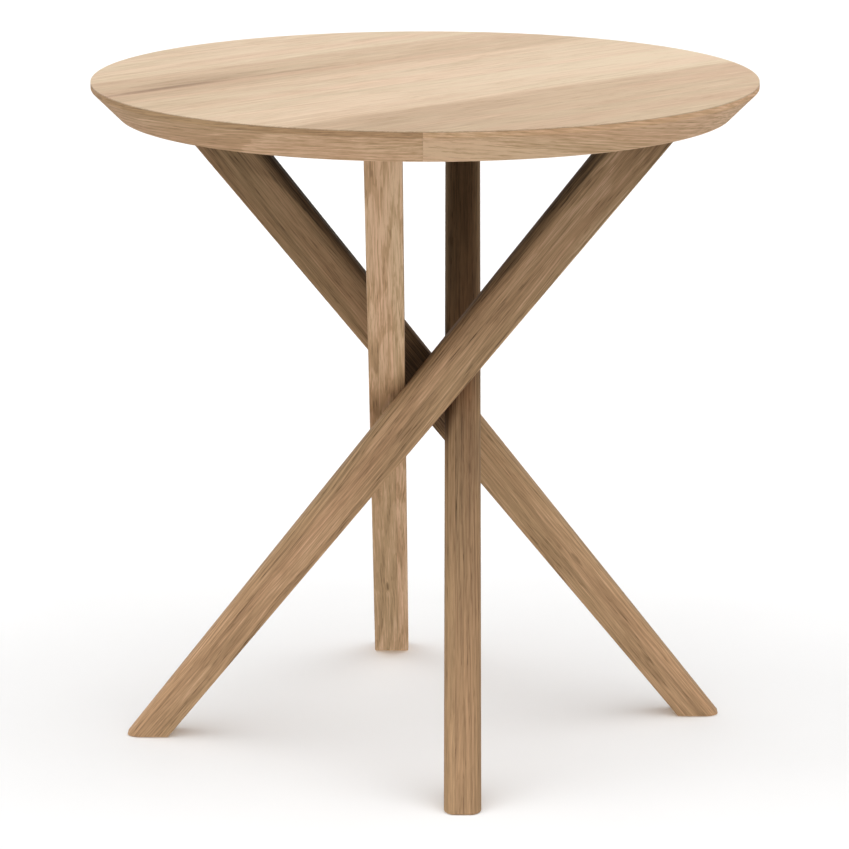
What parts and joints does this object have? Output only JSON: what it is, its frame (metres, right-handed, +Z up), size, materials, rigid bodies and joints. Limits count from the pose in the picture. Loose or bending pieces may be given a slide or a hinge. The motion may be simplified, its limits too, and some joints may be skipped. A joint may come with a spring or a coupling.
{
  "type": "side table",
  "caption": "Round oak side table: a thin undercut disc top, edged with four rim segments, fixed on four straight tapered legs that lean across and pass each other in a ring.",
  "frame": {"origin": "on the floor, on the table's vertical axis under the centre of the top", "axes": "+Z up along the table's axis; +X the way the front leg's head leans, so that the front leg lies in a plane of constant negative Y"},
  "size_m": [0.496, 0.496, 0.5],
  "materials": {
    "top_oak": "light oak face layer, laid in strips about 80 mm wide, oiled, satin-matt",
    "rim_oak": "solid oak, oiled, satin-matt",
    "core_board": "board with a dark brown backing film on its underside",
    "leg_oak": "oak, oiled, satin-matt, slightly darker than the top",
    "plate_steel": "black powder coat, fine texture",
    "screw_steel": "yellow zinc plate",
    "bolt_steel": "black oxide, oiled",
    "insert_metal": "bright zinc alloy",
    "dowel_beech": "plain beech",
    "glide_nylon": "dark nylon"
  },
  "bodies": {
    "root": {"top_face": "top_oak", "top_core": "core_board", "rim_front_to_right": "rim_oak", "rim_right_to_back": "rim_oak", "rim_back_to_left": "rim_oak", "rim_left_to_front": "rim_oak", "leg_front": "leg_oak", "leg_right": "leg_oak", "leg_back": "leg_oak", "leg_left": "leg_oak", "mounting_plate_front": "plate_steel", "mounting_plate_right": "plate_steel", "mounting_plate_back": "plate_steel", "mounting_plate_left": "plate_steel", "leg_screw_front_inner": "screw_steel", "leg_screw_front_outer": "screw_steel", "leg_screw_right_inner": "screw_steel", "leg_screw_right_outer": "screw_steel", "leg_screw_back_inner": "screw_steel", "leg_screw_back_outer": "screw_steel", "leg_screw_left_inner": "screw_steel", "leg_screw_left_outer": "screw_steel", "top_bolt_front_outer": "bolt_steel", "top_bolt_front_inner": "bolt_steel", "top_bolt_right_outer": "bolt_steel", "top_bolt_right_inner": "bolt_steel", "top_bolt_back_outer": "bolt_steel", "top_bolt_back_inner": "bolt_steel", "top_bolt_left_outer": "bolt_steel", "top_bolt_left_inner": "bolt_steel", "threaded_insert_front_outer": "insert_metal", "threaded_insert_front_inner": "insert_metal", "threaded_insert_right_outer": "insert_metal", "threaded_insert_right_inner": "insert_metal", "threaded_insert_back_outer": "insert_metal", "threaded_insert_back_inner": "insert_metal", "threaded_insert_left_outer": "insert_metal", "threaded_insert_left_inner": "insert_metal", "crossing_dowel_front": "dowel_beech", "crossing_dowel_right": "dowel_beech", "crossing_dowel_back": "dowel_beech", "crossing_dowel_left": "dowel_beech", "foot_glide_front": "glide_nylon", "foot_glide_right": "glide_nylon", "foot_glide_back": "glide_nylon", "foot_glide_left": "glide_nylon"}
  },
  "joints": []
}
